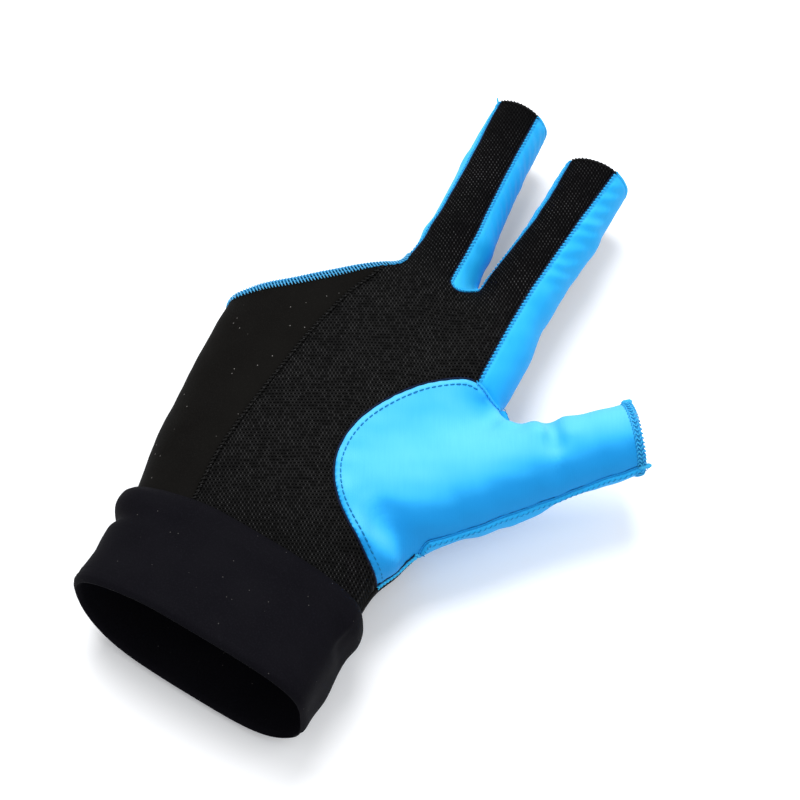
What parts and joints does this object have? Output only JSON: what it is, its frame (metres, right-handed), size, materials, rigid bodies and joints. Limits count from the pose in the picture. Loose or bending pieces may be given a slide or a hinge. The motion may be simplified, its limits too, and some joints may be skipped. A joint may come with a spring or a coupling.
{
  "type": "billiard glove",
  "caption": "Stretch glove for cue sports with open sleeves for thumb, index and middle finger, an open edge for the other fingers and a folded wrist cuff, shaped as worn.",
  "frame": {"origin": "middle of the cuff's mouth, where the wrist goes in", "axes": "+Y along the hand to the fingertips, +X towards the thumb's side, +Z out of the side that carries the mesh panel and the thumb patch"},
  "size_m": [0.1384, 0.2202, 0.041],
  "materials": {
    "black_mesh": "matt air mesh with rows of small holes",
    "black_stretch": "smooth knit, faint sheen",
    "blue_stretch": "smooth stretch knit, soft sheen",
    "black_cuff": "folded double stretch knit, satin"
  },
  "bodies": {
    "root": {"mesh_panel": "black_mesh", "stretch_wrap": "black_stretch", "middle_outer_side": "blue_stretch", "finger_web_side": "blue_stretch", "index_outer_side": "blue_stretch", "thumb_patch": "blue_stretch", "thumb_back": "blue_stretch", "cuff": "black_cuff"}
  },
  "joints": []
}
